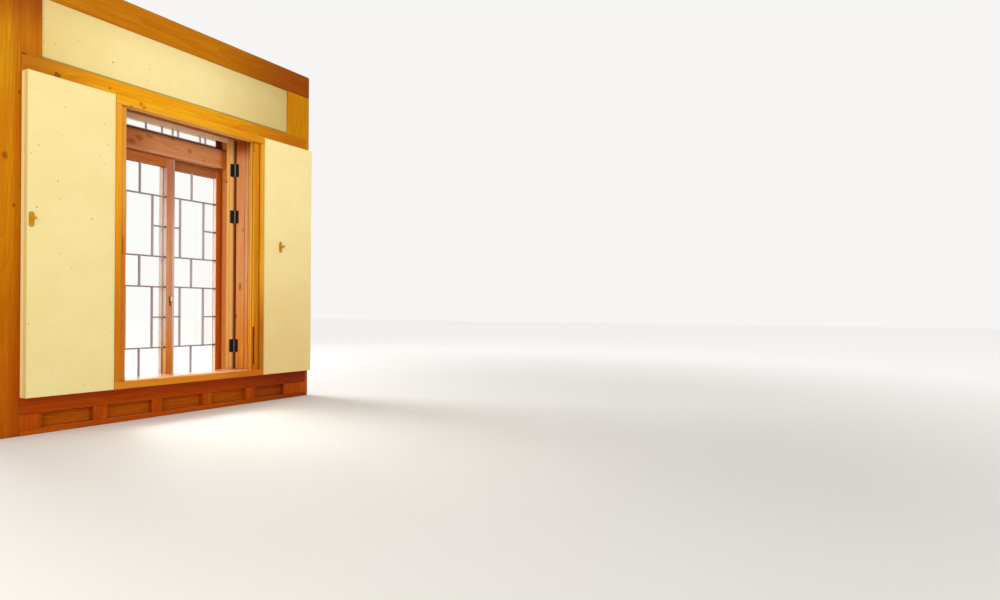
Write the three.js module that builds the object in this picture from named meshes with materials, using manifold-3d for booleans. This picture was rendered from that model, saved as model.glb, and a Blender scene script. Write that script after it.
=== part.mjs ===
import * as THREE from "three";
import { mergeVertices } from "three/addons/utils/BufferGeometryUtils.js";
import Module from "manifold-3d";

// Window wall bay of a hanok: posts, wall plate, rails, panelled dado, papered pockets and a lattice window.
// Millimetres. x runs along the wall, y from the room (0 is the posts' room face) to the outside, z up.

// Driving dimensions
const postSize = 240;
const bayClear = 1876;
const plateBottom = 2526;
const plateHeight = 180;
const railBottom = 2064;
const railTop = 2170;
const dadoHeight = 218;
const dadoLowRail = 33;
const dadoTopRailBottom = 119;
const railProud = 3;
const lapDepth = 27;
const lapLeft = -1047;
const lapRight = 1148;
const windowCentre = 45;
const fit = 0.3; // clearance between pieces that touch
const past = 5; // how far a cutting box runs out of the wood

// Eased edges, from the heaviest timber to the finest strip
const plateEase = 8;
const barEase = 4;
const timberEase = 3;
const railEase = 2;
const trimEase = 1.5;
const fineEase = 1;
const metalEase = 0.5;

// Window, as half widths from its centre
const frameHalf = 441;
const liningHalf = 513;
const liningThick = 32;
const casingHalf = 554;
const casingWidth = 34;
const frameJambOuter = liningHalf + liningThick;
const innerSillTop = 264;

// Depths of the pockets' layers, measured towards the room
const casingFront = -76;
const coverFront = -67;
const coverBack = -59;
const trackFront = coverBack + fit;
const pocketLeft = -1045;
const pocketRight = 1145;

// Sashes: the left one slides in front of the right one
const sashThick = 34;
const sashFronts = { left: 222, right: 262 };
const frameSillTop = 205;
const sashBottom = frameSillTop + fit;
const sashTop = 1813;
const daylightHeight = [242, 1744];
const meetingEdge = { left: 9, right: 50 };
const meetingStile = 49;
const outerStile = 53;
const jambRebate = 26;
const muntinWidth = 12;
const muntinDepth = 16;
const glassThick = 2.4;
const glassLap = 8;

const wasm = await Module();
wasm.setup();

const bay = new THREE.Group();
bay.position.y = -postSize / 2; // the origin is on the wall's centre line, at the floor

// Geometry helpers

function solidOf(geometry) {
  const bare = geometry.clone();
  bare.deleteAttribute("normal");
  bare.deleteAttribute("uv");
  const merged = mergeVertices(bare, 1e-4);
  return new wasm.Manifold(
    new wasm.Mesh({
      numProp: 3,
      vertProperties: new Float32Array(merged.attributes.position.array),
      triVerts: new Uint32Array(merged.index.array),
    }),
  );
}

function geometryOf(solid) {
  const mesh = solid.getMesh();
  const geometry = new THREE.BufferGeometry();
  const positions = new Float32Array(mesh.vertProperties);
  geometry.setAttribute("position", new THREE.BufferAttribute(positions, 3));
  geometry.setIndex(new THREE.BufferAttribute(new Uint32Array(mesh.triVerts), 1));
  geometry.computeVertexNormals();
  return geometry;
}

function join(...shapes) {
  return geometryOf(shapes.map(solidOf).reduce((whole, next) => whole.add(next)));
}

function cut(shape, ...tools) {
  return geometryOf(tools.map(solidOf).reduce((rest, tool) => rest.subtract(tool), solidOf(shape)));
}

function box([x0, x1], [y0, y1], [z0, z1]) {
  const geometry = new THREE.BoxGeometry(x1 - x0, y1 - y0, z1 - z0);
  return geometry.translate((x0 + x1) / 2, (y0 + y1) / 2, (z0 + z1) / 2);
}

// Axes for an outline's two coordinates and its length, by the axis that the length takes
const turns = {
  z: [new THREE.Vector3(1, 0, 0), new THREE.Vector3(0, 1, 0), new THREE.Vector3(0, 0, 1)],
  x: [new THREE.Vector3(0, 1, 0), new THREE.Vector3(0, 0, 1), new THREE.Vector3(1, 0, 0)],
  y: [new THREE.Vector3(0, 0, 1), new THREE.Vector3(1, 0, 0), new THREE.Vector3(0, 1, 0)],
};

function shapeOf(outline) {
  return new THREE.Shape(outline.map(([a, b]) => new THREE.Vector2(a, b)));
}

// An outline drawn out along an axis, with its end edges eased where asked, and with holes through it.
function prism(axis, outline, [from, to], ease = 0, holes = []) {
  const shape = shapeOf(outline);
  shape.holes = holes.map(shapeOf);
  const geometry = new THREE.ExtrudeGeometry(shape, {
    depth: to - from - 2 * ease,
    bevelEnabled: ease > 0,
    bevelThickness: ease,
    bevelSize: ease,
    bevelOffset: -ease,
    bevelSegments: 1,
    curveSegments: 6,
  });
  geometry.translate(0, 0, from + ease);
  return geometry.applyMatrix4(new THREE.Matrix4().makeBasis(...turns[axis]));
}

function easedRectangle([a0, a1], [b0, b1], ease) {
  return [
    [a0 + ease, b0],
    [a1 - ease, b0],
    [a1, b0 + ease],
    [a1, b1 - ease],
    [a1 - ease, b1],
    [a0 + ease, b1],
    [a0, b1 - ease],
    [a0, b0 + ease],
  ];
}

// A squared timber with eased edges, its grain along the named axis.
function timber(axis, x, y, z, ease = trimEase) {
  if (axis === "x") return prism("x", easedRectangle(y, z, ease), x);
  if (axis === "y") return prism("y", easedRectangle(z, x, ease), y);
  return prism("z", easedRectangle(x, y, ease), z);
}

function ordered(a, b) {
  return [Math.min(a, b), Math.max(a, b)];
}

// The span between two half widths on one side of the window: side is -1 on the left and 1 on the right.
function beside(side, near, far) {
  return ordered(windowCentre + side * near, windowCentre + side * far);
}

// Finishes

function finish(color, roughness = 0.55, metalness = 0) {
  return () => new THREE.MeshStandardMaterial({ color, roughness, metalness });
}

const finishes = {
  post: finish(0xc47c0e, 0.5),
  rail: finish(0xd98f1c, 0.5),
  dado: finish(0x96430f, 0.5),
  casing: finish(0xd98a1a, 0.5),
  lining: finish(0xc8865a, 0.55),
  frame: finish(0xc07a50, 0.6),
  sash: finish(0xb5511a, 0.55),
  hanji: finish(0xf0dca0, 0.95),
  plaster: finish(0xe9dfc6, 0.9),
  hinge: finish(0x1c1a1a, 0.4, 0.7),
  brass: finish(0xb08a45, 0.35, 0.9),
  glass: () =>
    new THREE.MeshStandardMaterial({ color: 0xdfe8e6, roughness: 0.05, transparent: true, opacity: 0.3 }),
};

function add(name, finishName, geometry) {
  const mesh = new THREE.Mesh(geometry, finishes[finishName]());
  mesh.name = name;
  bay.add(mesh);
}

const sides = { left: -1, right: 1 };
const postInner = bayClear / 2;
const postOuter = postInner + postSize;
const clearSpan = [-postInner + fit, postInner - fit];
const wallDepth = [-railProud, postSize + railProud];

// Posts, with housings in their room faces for the rails and the dado
function post(side) {
  const across = ordered(side * postInner, side * postOuter);
  const lapEnd = side < 0 ? lapLeft - fit : lapRight + fit;
  const housed = ordered(lapEnd, side * (postInner - past));
  const housing = (z) => box(housed, [-past, lapDepth + fit], z);
  return cut(
    timber("z", across, [0, postSize], [0, plateBottom - fit], timberEase),
    housing([railBottom - fit, railTop + fit]),
    housing([-past, dadoHeight]),
  );
}

for (const [name, side] of Object.entries(sides)) add(`post_${name}`, "post", post(side));

add(
  "wall_plate",
  "post",
  prism(
    "x",
    easedRectangle([0, postSize], [plateBottom, plateBottom + plateHeight], plateEase),
    [-postOuter, postOuter],
    timberEase,
  ),
);

// A rail between the posts, lapped over their room faces
function lappedRail([z0, z1]) {
  const [left, right] = clearSpan;
  const outline = [
    [lapLeft, wallDepth[0]],
    [lapRight, wallDepth[0]],
    [lapRight, lapDepth],
    [right, lapDepth],
    [right, wallDepth[1]],
    [left, wallDepth[1]],
    [left, lapDepth],
    [lapLeft, lapDepth],
  ];
  return prism("z", outline, [z0, z1], railEase);
}

add("head_rail", "rail", lappedRail([railBottom, railTop]));

// Papered and plastered walls, set back from the faces of the timber
const paperSetBack = 12;
const plasterSetBack = 15;
const plasterFace = postSize - plasterSetBack;
add("upper_wall", "hanji", box(clearSpan, [paperSetBack, plasterFace], [railTop + fit, plateBottom - fit]));

for (const [name, side] of Object.entries(sides)) {
  const across = ordered(windowCentre + side * (frameJambOuter + fit), side * (postInner - fit));
  add(`infill_wall_${name}`, "plaster", box(across, [0, plasterFace], [dadoHeight, railBottom - fit]));
}

// Dado: two lapped rails, short stiles and recessed boards on the room side, boards and stiles outside
const frameFront = 172;
const frameBack = 306;
const liningBack = 152;
const frameSillBottom = 190;
const sillStep = 4;
const sillFront = frameFront - sillStep;
const stileThick = 36;
const boardRecess = 33;
const boardThick = 14;

add("dado_bottom_rail", "dado", lappedRail([0, dadoLowRail - fit]));

const sillRebate = box(
  beside(1, -frameJambOuter - fit, frameJambOuter + fit),
  [sillFront, wallDepth[1] + past],
  [frameSillBottom, dadoHeight + past],
);
add("dado_top_rail", "dado", cut(lappedRail([dadoTopRailBottom, dadoHeight - fit]), sillRebate));

const stileHeight = [dadoLowRail, dadoTopRailBottom - fit];
const dadoStiles = [
  [lapLeft, -930],
  [-632, -544],
  [-241, -168],
  [146, 221],
  [526, 613],
  [918, lapRight],
];
dadoStiles.forEach((across, index) => {
  const onPost = index === 0 || index === dadoStiles.length - 1;
  const back = onPost ? lapDepth : stileThick - railProud;
  add(`dado_stile_${index + 1}`, "dado", timber("z", across, [-railProud, back], stileHeight));
});

const boardFront = stileThick - railProud + fit;
add("dado_board_inner", "dado", box(clearSpan, [boardFront, boardFront + boardThick], stileHeight));

// Outside the boards and stiles are one panelled course, seen as raised stiles between recessed boards
const outerStileShares = [0.36, 0.18, 0, -0.18, -0.36];

function outerDado() {
  const face = wallDepth[1];
  const recessed = face - boardRecess;
  const back = recessed - boardThick;
  const stileWidth = 80;
  const ends = [clearSpan[0] + stileWidth, clearSpan[1] - stileWidth];
  const outline = [
    [clearSpan[0], back],
    [clearSpan[1], back],
    [clearSpan[1], face],
    [ends[1], face],
    [ends[1], recessed],
  ];
  for (const centre of outerStileShares.map((share) => share * bayClear)) {
    outline.push([centre + stileWidth / 2, recessed], [centre + stileWidth / 2, face]);
    outline.push([centre - stileWidth / 2, face], [centre - stileWidth / 2, recessed]);
  }
  outline.push([ends[0], recessed], [ends[0], face], [clearSpan[0], face]);
  return prism("z", outline, stileHeight);
}

add("dado_board_outer", "dado", outerDado());

// Pockets: a papered cover and its outer return on each side, with the sliding tracks above and below
const returnWidth = 24;
const coverHeight = [dadoHeight + fit, railBottom - fit];
const pocketEnds = { left: pocketLeft, right: pocketRight };
const trackSpan = [pocketLeft + returnWidth + fit, pocketRight - returnWidth - fit];

for (const [name, side] of Object.entries(sides)) {
  const end = pocketEnds[name];
  const casingEdge = windowCentre + side * (casingHalf + casingWidth + fit);
  const across = ordered(end, casingEdge);
  const outer = ordered(end, end - side * returnWidth);
  add(`pocket_cover_${name}`, "hanji", timber("z", across, [coverFront, coverBack], coverHeight));
  add(`pocket_return_${name}`, "hanji", timber("z", outer, [trackFront, -fit], coverHeight));
}

// Casing round the window's opening, over the covers' edges
const casingDepth = [casingFront, coverBack];
const casingHeadBottom = 2009;
const casingSpan = beside(1, -(casingHalf + casingWidth), casingHalf + casingWidth);
add("casing_head", "casing", timber("x", casingSpan, casingDepth, [casingHeadBottom, railBottom - fit]));
add("casing_sill", "casing", timber("x", casingSpan, casingDepth, [dadoHeight + fit, innerSillTop]));
for (const [name, side] of Object.entries(sides)) {
  const across = beside(side, casingHalf, casingHalf + casingWidth);
  const height = [innerSillTop + fit, casingHeadBottom - fit];
  add(`casing_${name}`, "casing", timber("z", across, casingDepth, height));
}

// Sliding tracks: two grooves each, one for each leaf on a side
const leafThick = 24;
const leafFronts = { front: -55, back: -27 };
const grooveSlack = 1;
const sillGroove = 6;
const headGroove = 14;
const headTrackBottom = 2016;

function track(height, grooveHeight) {
  const grooveSpan = [trackSpan[0] - past, trackSpan[1] + past];
  const grooves = Object.values(leafFronts).map((front) =>
    box(grooveSpan, [front - grooveSlack, front + leafThick + grooveSlack], grooveHeight),
  );
  return cut(box(trackSpan, [trackFront, -fit], height), ...grooves);
}

const sillTrackHeight = [dadoHeight + fit, innerSillTop];
const headTrackHeight = [headTrackBottom, railBottom - fit];
add("sill_track", "lining", track(sillTrackHeight, [innerSillTop - sillGroove, innerSillTop + past]));
add("head_track", "lining", track(headTrackHeight, [headTrackBottom - past, headTrackBottom + headGroove]));

// Papered sliding leaves, pushed back into the pockets so that only the leading stiles show
const leafWidth = 553;
const leafLead = 511;
const leafTopSlack = 4;
const leafHeight = [innerSillTop - sillGroove + fit, headTrackBottom + headGroove - leafTopSlack];
const pullWidth = 15;
const pullHeight = 103;
const pullDepth = 5;
const pullInset = 24;
const pullCentre = 1125;

function slidingLeaf(side, layer) {
  const front = leafFronts[layer];
  const across = beside(side, leafLead, leafLead + leafWidth);
  const leaf = timber("z", across, [front, front + leafThick], leafHeight);
  const pullX = windowCentre + side * (leafLead + pullInset);
  const pull = box(
    [pullX - pullWidth / 2, pullX + pullWidth / 2],
    [front - past, front + pullDepth],
    [pullCentre - pullHeight / 2, pullCentre + pullHeight / 2],
  );
  const grooved = layer === "front" ? [edgeGroove(side)] : [];
  return cut(leaf, pull, ...grooved);
}

// The front leaves' leading edges are grooved, and a batten fills the middle of each groove
const edgeGrooveWidth = 14;
const edgeGrooveDepth = 9;
const battenHeight = [591, 1938];
const battenProud = 2;

function edgeGroove(side) {
  const middle = leafFronts.front + leafThick / 2;
  const halfWidth = edgeGrooveWidth / 2;
  return box(
    beside(side, leafLead - past, leafLead + edgeGrooveDepth),
    [middle - halfWidth, middle + halfWidth],
    [leafHeight[0] - past, leafHeight[1] + past],
  );
}

function edgeBatten(side) {
  const middle = leafFronts.front + leafThick / 2;
  const halfWidth = edgeGrooveWidth / 2 - fit;
  const across = beside(side, leafLead - battenProud, leafLead + edgeGrooveDepth - fit);
  return timber("z", across, [middle - halfWidth, middle + halfWidth], battenHeight, fineEase);
}

for (const [name, side] of Object.entries(sides)) {
  for (const layer of Object.keys(leafFronts)) {
    add(`sliding_leaf_${name}_${layer}`, "lining", slidingLeaf(side, layer));
  }
  add(`leaf_batten_${name}`, "rail", edgeBatten(side));
}

// Inner sill and lining of the window's reveal, with a groove and a stepped rebate in each side
const liningHeadBottom = 2042;
const revealGrooves = [
  { from: 16, to: 21, depth: 5 },
  { from: 52, to: 66, depth: 8 },
];

const revealSpan = beside(1, -frameJambOuter, frameJambOuter);
const liningHeadHeight = [liningHeadBottom, railBottom - fit];
add("inner_sill", "lining", timber("x", revealSpan, [0, sillFront], [dadoHeight, innerSillTop], fineEase));
add("lining_head", "lining", timber("x", revealSpan, [0, liningBack], liningHeadHeight, fineEase));

function liningSide(side) {
  const face = windowCentre + side * liningHalf;
  const back = windowCentre + side * frameJambOuter;
  const outline = [[back, 0], [face, 0]];
  for (const { from, to, depth } of revealGrooves) {
    outline.push([face, from], [face + side * depth, from], [face + side * depth, to], [face, to]);
  }
  outline.push([face, liningBack], [back, liningBack]);
  return prism("z", outline, [innerSillTop + fit, liningHeadBottom - fit]);
}

for (const [name, side] of Object.entries(sides)) add(`lining_${name}`, "lining", liningSide(side));

// Outer frame: rebated jambs, head, transom bar and weathered sill
const jambHeight = [frameSillTop + fit, railBottom - fit];
const frameHeadBottom = 2017;
const frameHeadLip = 18;
const transomHeadBottom = 2040;
const barHeight = [1815, 1962];
const barFront = 186;
const sillNose = { reach: 20, drip: 12, fall: 8 };
const sashClearance = 1;
const rebateDepth = [sashFronts.left - sashClearance, sashFronts.right + sashThick + 2 * sashClearance];
const jambSeam = { inset: 23, width: 2 };

function jamb(side) {
  const seam = frameHalf + jambSeam.inset;
  const [foot, top] = jambHeight;
  return cut(
    timber("z", beside(side, frameHalf, frameJambOuter), [frameFront, frameBack], jambHeight),
    box(beside(side, frameHalf - past, frameHalf + jambRebate), rebateDepth, [foot - past, barHeight[0]]),
    box(
      beside(side, seam, seam + jambSeam.width),
      [frameFront - past, frameFront + jambSeam.width],
      [foot - past, top + past],
    ),
  );
}

for (const [name, side] of Object.entries(sides)) add(`frame_jamb_${name}`, "frame", jamb(side));

const frameSpan = beside(1, -frameHalf + fit, frameHalf - fit);
const frameHeadOutline = [
  [frameFront, frameHeadBottom],
  [frameFront + frameHeadLip, frameHeadBottom],
  [frameFront + frameHeadLip, transomHeadBottom],
  [frameBack, transomHeadBottom],
  [frameBack, railBottom - fit],
  [frameFront, railBottom - fit],
];
add("frame_head", "frame", prism("x", frameHeadOutline, frameSpan));
add("transom_bar", "frame", timber("x", frameSpan, [barFront, frameBack], barHeight, barEase));

// The sill carries a ridge between the two sashes, and its nose has a drip
const ridge = {
  from: sashFronts.left + sashThick + sashClearance,
  to: sashFronts.right - sashClearance,
  rise: 8,
};
const sillBack = frameBack + sillNose.reach;
const dripFront = sillBack - sillNose.drip;
const frameSillOutline = [
  [sillFront + fit, frameSillBottom + fit],
  [dripFront, frameSillBottom + fit],
  [dripFront, frameSillBottom - sillNose.fall],
  [sillBack, frameSillBottom - sillNose.fall],
  [sillBack, frameSillTop - sillNose.fall],
  [frameBack, frameSillTop],
  [ridge.to, frameSillTop],
  [ridge.to, frameSillTop + ridge.rise],
  [ridge.from, frameSillTop + ridge.rise],
  [ridge.from, frameSillTop],
  [sillFront + fit, frameSillTop],
];
const ridgeEnds = [-1, 1].map((side) =>
  box(
    beside(side, frameHalf + jambRebate - sashClearance, frameJambOuter + past),
    [ridge.from - past, ridge.to + past],
    [frameSillTop, frameSillTop + ridge.rise + past],
  ),
);
add(
  "frame_sill",
  "frame",
  cut(prism("x", frameSillOutline, revealSpan), ...ridgeEnds),
);

// Sashes: a frame, and muntins in rows of about 216 mm that run plain, doubled, plain, doubled and plain
const firstRow = 451;
const rowPitch = { left: 215.6, right: 217.6 };
const middleUpright = 198;
const innerUpright = 103;
const outerUpright = 301.5;
const muntinSetBack = 1;
const muntinBury = 4;

// The span of a sash's daylight opening, from the meeting stile to the stile in the jamb
function daylightOf(name) {
  const jambSide = windowCentre + sides[name] * (frameHalf + jambRebate - sashClearance - outerStile);
  return ordered(meetingEdge[name], jambSide);
}

function sash(name) {
  const side = sides[name];
  const front = sashFronts[name];
  const back = front + sashThick;
  const daylight = daylightOf(name);
  const [leftStile, rightStile] = side < 0 ? [outerStile, meetingStile] : [meetingStile, outerStile];
  const around = (low, high, [z0, z1]) => [[z0, low], [z1, low], [z1, high], [z0, high]];
  const body = prism(
    "y",
    around(daylight[0] - leftStile, daylight[1] + rightStile, [sashBottom, sashTop]),
    [front, back],
    trimEase,
    [around(...daylight, daylightHeight)],
  );
  const rebate = box(
    [daylight[0] - glassLap, daylight[1] + glassLap],
    [back - glassThick - 2 * fit, back + past],
    [daylightHeight[0] - glassLap, daylightHeight[1] + glassLap],
  );
  const rowAt = (step) => firstRow + step * rowPitch[name];
  const plainRows = [
    [daylightHeight[0], rowAt(0)],
    [rowAt(2), rowAt(3)],
    [rowAt(5), daylightHeight[1]],
  ];
  const doubleRows = [
    [rowAt(0), rowAt(2)],
    [rowAt(3), rowAt(5)],
  ];
  const fullLines = [0, 2, 3, 5].map(rowAt);
  const shortLines = [1, 4].map(rowAt);
  const depth = [front + muntinSetBack, front + muntinSetBack + muntinDepth];
  const across = (offset) => meetingEdge[name] + side * offset;
  const bar = (middle) => [middle - muntinWidth / 2, middle + muntinWidth / 2];
  const row = (from, to, z) => timber("x", ordered(from, to), depth, bar(z), fineEase);
  const upright = (offset, [z0, z1]) =>
    timber("z", bar(across(offset)), depth, [z0 - muntinBury, z1 + muntinBury], fineEase);
  const meetingEnd = across(-muntinBury);
  const jambEnd = (side < 0 ? daylight[0] : daylight[1]) + side * muntinBury;
  return join(
    cut(body, rebate),
    ...fullLines.map((z) => row(meetingEnd, jambEnd, z)),
    ...shortLines.map((z) => row(meetingEnd, across(innerUpright), z)),
    ...shortLines.map((z) => row(across(outerUpright), jambEnd, z)),
    ...plainRows.map((height) => upright(middleUpright, height)),
    ...doubleRows.map((height) => upright(innerUpright, height)),
    ...doubleRows.map((height) => upright(outerUpright, height)),
  );
}

function sashGlass(name) {
  const back = sashFronts[name] + sashThick;
  const [x0, x1] = daylightOf(name);
  const lap = glassLap - fit;
  return box(
    [x0 - lap, x1 + lap],
    [back - glassThick - fit, back - fit],
    [daylightHeight[0] - lap, daylightHeight[1] + lap],
  );
}

for (const name of Object.keys(sides)) {
  add(`sash_${name}`, "sash", sash(name));
  add(`sash_glass_${name}`, "glass", sashGlass(name));
}

// Strip on the front sash's meeting stile that closes the gap to the rear sash
const stripWidth = 17;
const stripLeft = meetingEdge.left + meetingStile + fit;
const stripSpan = [stripLeft, stripLeft + stripWidth];
const stripSetBack = 2;
const stripDepth = [sashFronts.left + stripSetBack, sashFronts.right - stripSetBack];
const stripHeight = [frameSillTop + ridge.rise + sashClearance, sashTop];
add("meeting_strip", "frame", timber("z", stripSpan, stripDepth, stripHeight, fineEase));

// Latch on the front sash's meeting stile: a plate with a turning knob
const latchCentre = 782;
const latchAcross = 40;
const latchPlate = { width: 16, height: 70, thick: 2 };
const latchBoss = { radius: 6, length: 12, bury: 1 };
const latchGrip = { width: 7, height: 30, thick: 8, bury: 4 };
const roundSides = 16;

function windowLatch() {
  const back = sashFronts.left - fit;
  const plateFront = back - latchPlate.thick;
  const z = (height) => [latchCentre - height / 2, latchCentre + height / 2];
  const x = (width) => [latchAcross - width / 2, latchAcross + width / 2];
  const boss = new THREE.CylinderGeometry(latchBoss.radius, latchBoss.radius, latchBoss.length, roundSides);
  boss.translate(latchAcross, plateFront + latchBoss.bury - latchBoss.length / 2, latchCentre);
  const gripBack = plateFront - latchBoss.length + latchGrip.bury;
  return join(
    timber("z", x(latchPlate.width), [plateFront, back], z(latchPlate.height), metalEase),
    boss,
    timber("z", x(latchGrip.width), [gripBack - latchGrip.thick, gripBack], z(latchGrip.height), fineEase),
  );
}

add("window_latch", "brass", windowLatch());

// Lattice and glass over the transom bar
const transomUprights = [-346, -138, -16, 69, 112, 297, 343];
const transomBarWidth = 6;
const transomHeight = [barHeight[1] + fit, transomHeadBottom - fit];
const transomRails = { low: 21, high: 4 };
const transomStile = 44;
const transomBury = 2;
const transomDepth = [236, 252];

function transomLattice() {
  const [z0, z1] = transomHeight;
  const [x0, x1] = [frameSpan[0] + fit, frameSpan[1] - fit];
  const half = transomBarWidth / 2;
  const uprights = transomUprights.map((x) =>
    box([x - half, x + half], transomDepth, [z0 + transomBury, z1 - transomBury]),
  );
  return join(
    box([x0, x1], transomDepth, [z0, z0 + transomRails.low]),
    box([x0, x1], transomDepth, [z1 - transomRails.high, z1]),
    box([x0, x0 + transomStile], transomDepth, transomHeight),
    box([x1 - transomStile, x1], transomDepth, transomHeight),
    ...uprights,
  );
}

add("transom_lattice", "sash", transomLattice());
add(
  "transom_glass",
  "glass",
  box(
    [frameSpan[0] + fit, frameSpan[1] - fit],
    [transomDepth[1] + fit, transomDepth[1] + fit + glassThick],
    transomHeight,
  ),
);

// Butt hinges across the shadow gap between the lining and the outer frame
const hingeHeight = 100;
const hingeCentres = { top: 1812, middle: 1449, bottom: 443 };
const hingePlate = 2.6;
const hingeLeaf = 37;
const knuckleRadius = 6.5;
const knuckleInset = 6;

function hinge(side, centre) {
  const z = [centre - hingeHeight / 2, centre + hingeHeight / 2];
  const reveal = windowCentre + side * (liningHalf - fit);
  const knuckle = { x: windowCentre + side * (liningHalf - knuckleInset), y: (liningBack + frameFront) / 2 };
  const acrossReveal = ordered(reveal - side * hingePlate, reveal);
  const acrossFrame = ordered(knuckle.x, knuckle.x - side * hingeLeaf);
  const frameFace = frameFront - fit;
  const barrel = new THREE.CylinderGeometry(knuckleRadius, knuckleRadius, hingeHeight, roundSides);
  barrel.rotateX(Math.PI / 2).translate(knuckle.x, knuckle.y, centre);
  return join(
    box(acrossReveal, [knuckle.y - hingeLeaf, knuckle.y], z),
    box(acrossFrame, [frameFace - hingePlate, frameFace], z),
    box([knuckle.x - hingePlate / 2, knuckle.x + hingePlate / 2], [knuckle.y, frameFace], z),
    barrel,
  );
}

for (const [name, side] of Object.entries(sides)) {
  for (const [place, centre] of Object.entries(hingeCentres)) {
    add(`hinge_${name}_${place}`, "hinge", hinge(side, centre));
  }
}

// Wooden pegs on the covers: a rounded plate with a peg that leans up a little
const pegCentre = 1225;
const pegPlate = { width: 27, height: 86, thick: 6 };
const pegSize = 17;
const pegReach = 50;
const pegLean = 0.14;
const pegPlaces = { left: -1024, right: 804 };

function peg(x) {
  const back = coverFront - fit;
  const radius = pegPlate.width / 2;
  const half = pegPlate.height / 2 - radius;
  const plateOutline = new THREE.Shape();
  plateOutline.absarc(half, 0, radius, -Math.PI / 2, Math.PI / 2);
  plateOutline.absarc(-half, 0, radius, Math.PI / 2, (3 * Math.PI) / 2);
  const points = plateOutline.getPoints(6).slice(0, -1); // the last point repeats the first
  const outline = points.map(({ x: along, y: across }) => [along + pegCentre, across + x]);
  const plate = prism("y", outline, [back - pegPlate.thick, back], fineEase);
  const arm = new THREE.BoxGeometry(pegSize, pegReach, pegSize);
  arm.translate(0, -pegReach / 2, 0).rotateX(-pegLean).translate(x, back - pegPlate.thick / 2, pegCentre);
  return join(plate, arm);
}

for (const [name, x] of Object.entries(pegPlaces)) add(`peg_${name}`, "casing", peg(x));

const group = new THREE.Group();
group.add(bay);

export default group;
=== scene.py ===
from math import cos, pi, radians, sin, sqrt

import bmesh
import bpy
from mathutils import Matrix, Vector


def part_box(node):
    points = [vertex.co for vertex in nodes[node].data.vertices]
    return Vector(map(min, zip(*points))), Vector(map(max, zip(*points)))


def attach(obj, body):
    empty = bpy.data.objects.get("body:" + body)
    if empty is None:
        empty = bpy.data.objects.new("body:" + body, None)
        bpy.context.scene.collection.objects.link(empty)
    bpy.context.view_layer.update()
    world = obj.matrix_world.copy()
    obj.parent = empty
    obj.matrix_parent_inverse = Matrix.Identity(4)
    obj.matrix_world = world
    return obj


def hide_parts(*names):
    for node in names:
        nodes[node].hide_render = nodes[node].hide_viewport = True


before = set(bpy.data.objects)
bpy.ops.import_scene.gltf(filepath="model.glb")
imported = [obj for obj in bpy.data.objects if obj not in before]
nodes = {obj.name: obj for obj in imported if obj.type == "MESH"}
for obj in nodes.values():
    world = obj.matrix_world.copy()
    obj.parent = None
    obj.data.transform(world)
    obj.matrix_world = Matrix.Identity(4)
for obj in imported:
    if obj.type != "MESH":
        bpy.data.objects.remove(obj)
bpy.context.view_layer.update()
scene = bpy.context.scene
print("frame loaded:", len(nodes), "nodes")


# wiring of shader nodes

measures = ("LENGTH", "DISTANCE", "DOT_PRODUCT")


class Wiring:
    def __init__(self, tree):
        self.tree = tree

    def feed(self, socket, value):
        if isinstance(value, bpy.types.NodeSocket):
            self.tree.links.new(value, socket)
        elif value is not None:
            socket.default_value = value

    def add(self, kind, inputs=None, **settings):
        node = self.tree.nodes.new("ShaderNode" + kind)
        for key, value in settings.items():
            setattr(node, key, value)
        for key, value in (inputs or {}).items():
            self.feed(node.inputs[key], value)
        return node

    def math(self, operation, *values, clamp=False):
        inputs = dict(enumerate(values))
        return self.add("Math", inputs, operation=operation, use_clamp=clamp).outputs[0]

    def times(self, first, second, clamp=False):
        return self.math("MULTIPLY", first, second, clamp=clamp)

    def minus(self, first, second):
        return self.math("SUBTRACT", first, second)

    def timesPlus(self, first, second, third):
        return self.math("MULTIPLY_ADD", first, second, third)

    def vector(self, operation, *values):
        node = self.add("VectorMath", dict(enumerate(values)), operation=operation)
        return node.outputs["Value" if operation in measures else "Vector"]

    def split(self, vector):
        return self.add("SeparateXYZ", {"Vector": vector}).outputs[:3]

    def join(self, x, y, z):
        return self.add("CombineXYZ", {"X": x, "Y": y, "Z": z}).outputs[0]

    def mix(self, share, first, second, blend="MIX"):
        inputs = {0: share, 6: first, 7: second}
        return self.add("Mix", inputs, data_type="RGBA", blend_type=blend).outputs[2]

    def cover(self, colour, other, share, strength):
        return self.mix(self.times(share, strength), colour, other)

    # multiplies a colour by a tone under a mask: ramps of tone and of painted shade
    def stain(self, colour, tone, share):
        return self.mix(share, colour, self.mix(1.0, colour, (*tone, 1), "MULTIPLY"))

    def blend(self, share, first, second):
        return self.add("Mix", {0: share, 2: first, 3: second}, data_type="FLOAT").outputs[0]

    def step(self, value, start, end):
        inputs = {"Value": value, "From Min": start, "From Max": end}
        return self.add("MapRange", inputs, interpolation_type="SMOOTHSTEP").outputs[0]

    def noise(self, place, scale=1.0, detail=2.0, rough=0.5):
        inputs = {"Vector": place, "Scale": scale, "Detail": detail, "Roughness": rough}
        return self.add("TexNoise", inputs).outputs[0]

    def scatter(self, place, scale):
        return self.add("TexNoise", {"Vector": place, "Scale": scale, "Detail": 2.0}).outputs[1]

    def group(self, group, **inputs):
        named = {key.replace("_", " "): value for key, value in inputs.items()}
        return self.add("Group", named, node_tree=group).outputs

    def give(self, made, **values):
        for label, value in values.items():
            self.feed(made[label], value)
        return self.tree


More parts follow.
